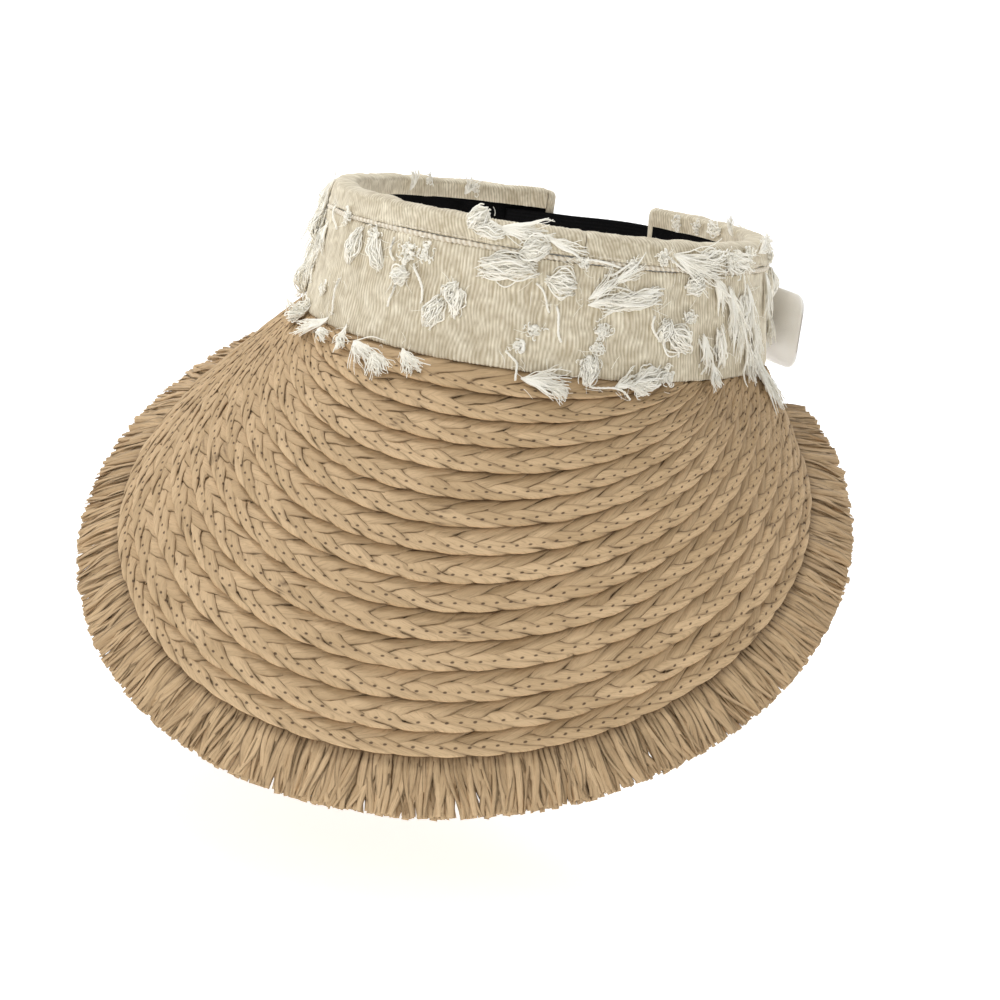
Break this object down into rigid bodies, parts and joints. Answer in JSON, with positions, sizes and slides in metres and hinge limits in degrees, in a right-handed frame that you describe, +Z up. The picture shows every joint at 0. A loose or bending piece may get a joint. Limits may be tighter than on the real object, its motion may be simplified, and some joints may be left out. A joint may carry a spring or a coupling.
{
  "type": "sun visor",
  "caption": "Wide-brim sun visor: shingled rows of straw braid with a cut fringe, a crinkled cream head band open at the back, and an elastic strap with a grip tab.",
  "frame": {"origin": "centre of the head opening, in the plane of the head band's lower edge", "axes": "+Z up along the head towards the crown, -Y forwards over the forehead, +X towards the wearer's left"},
  "size_m": [0.269, 0.3014, 0.1771],
  "materials": {
    "straw": "plaited tan paper straw with a dull sheen",
    "straw_fringe": "cut tan paper straw strips",
    "beige_tape": "plain woven cotton tape",
    "cream_crinkle_fabric": "crinkled cream fabric with fine upright ribs and clipped yarn tufts",
    "cream_cord": "topstitched cream fabric over a cord",
    "black_knit": "black padded knit",
    "black_webbing": "ribbed black elastic webbing",
    "touch_fastener": "black hook and loop fastener",
    "grey_felt": "plain light warm grey felt",
    "white_stiffener": "plain white flexible strip"
  },
  "bodies": {
    "visor": {"braid_row_01": "straw", "braid_row_02": "straw", "braid_row_03": "straw", "braid_row_04": "straw", "braid_row_05": "straw", "braid_row_06": "straw", "braid_row_07": "straw", "braid_row_08": "straw", "braid_row_09": "straw", "braid_row_10": "straw", "braid_row_11": "straw", "braid_row_12": "straw", "braid_row_13": "straw", "braid_row_14": "straw", "fringe": "straw_fringe", "brim_seam_tape": "beige_tape", "face_cover": "cream_crinkle_fabric", "band_stiffener": "white_stiffener", "sweatband": "black_knit", "welt_cord": "cream_cord", "top_hem_left": "cream_crinkle_fabric", "top_hem_right": "cream_crinkle_fabric", "end_fold_left": "cream_crinkle_fabric", "end_fold_right": "cream_crinkle_fabric", "strap_root": "black_webbing", "loop_patch": "touch_fastener"},
    "strap": {"elastic_strap": "black_webbing", "hook_patch": "touch_fastener"},
    "tab": {"grip_tab": "grey_felt"}
  },
  "joints": [
    {"name": "strap_swing", "type": "hinge", "parent": "visor", "child": "strap", "pos_m": [-0.01497, 0.08549, 0.018], "axis": [0.0291, -0.1266, 0.9915], "range_deg": [0, 55]},
    {"name": "tab_peel", "type": "hinge", "parent": "strap", "child": "tab", "pos_m": [0.07514, 0.04841, 0.008], "axis": [0, 0, 1], "range_deg": [-14, 85]}
  ]
}
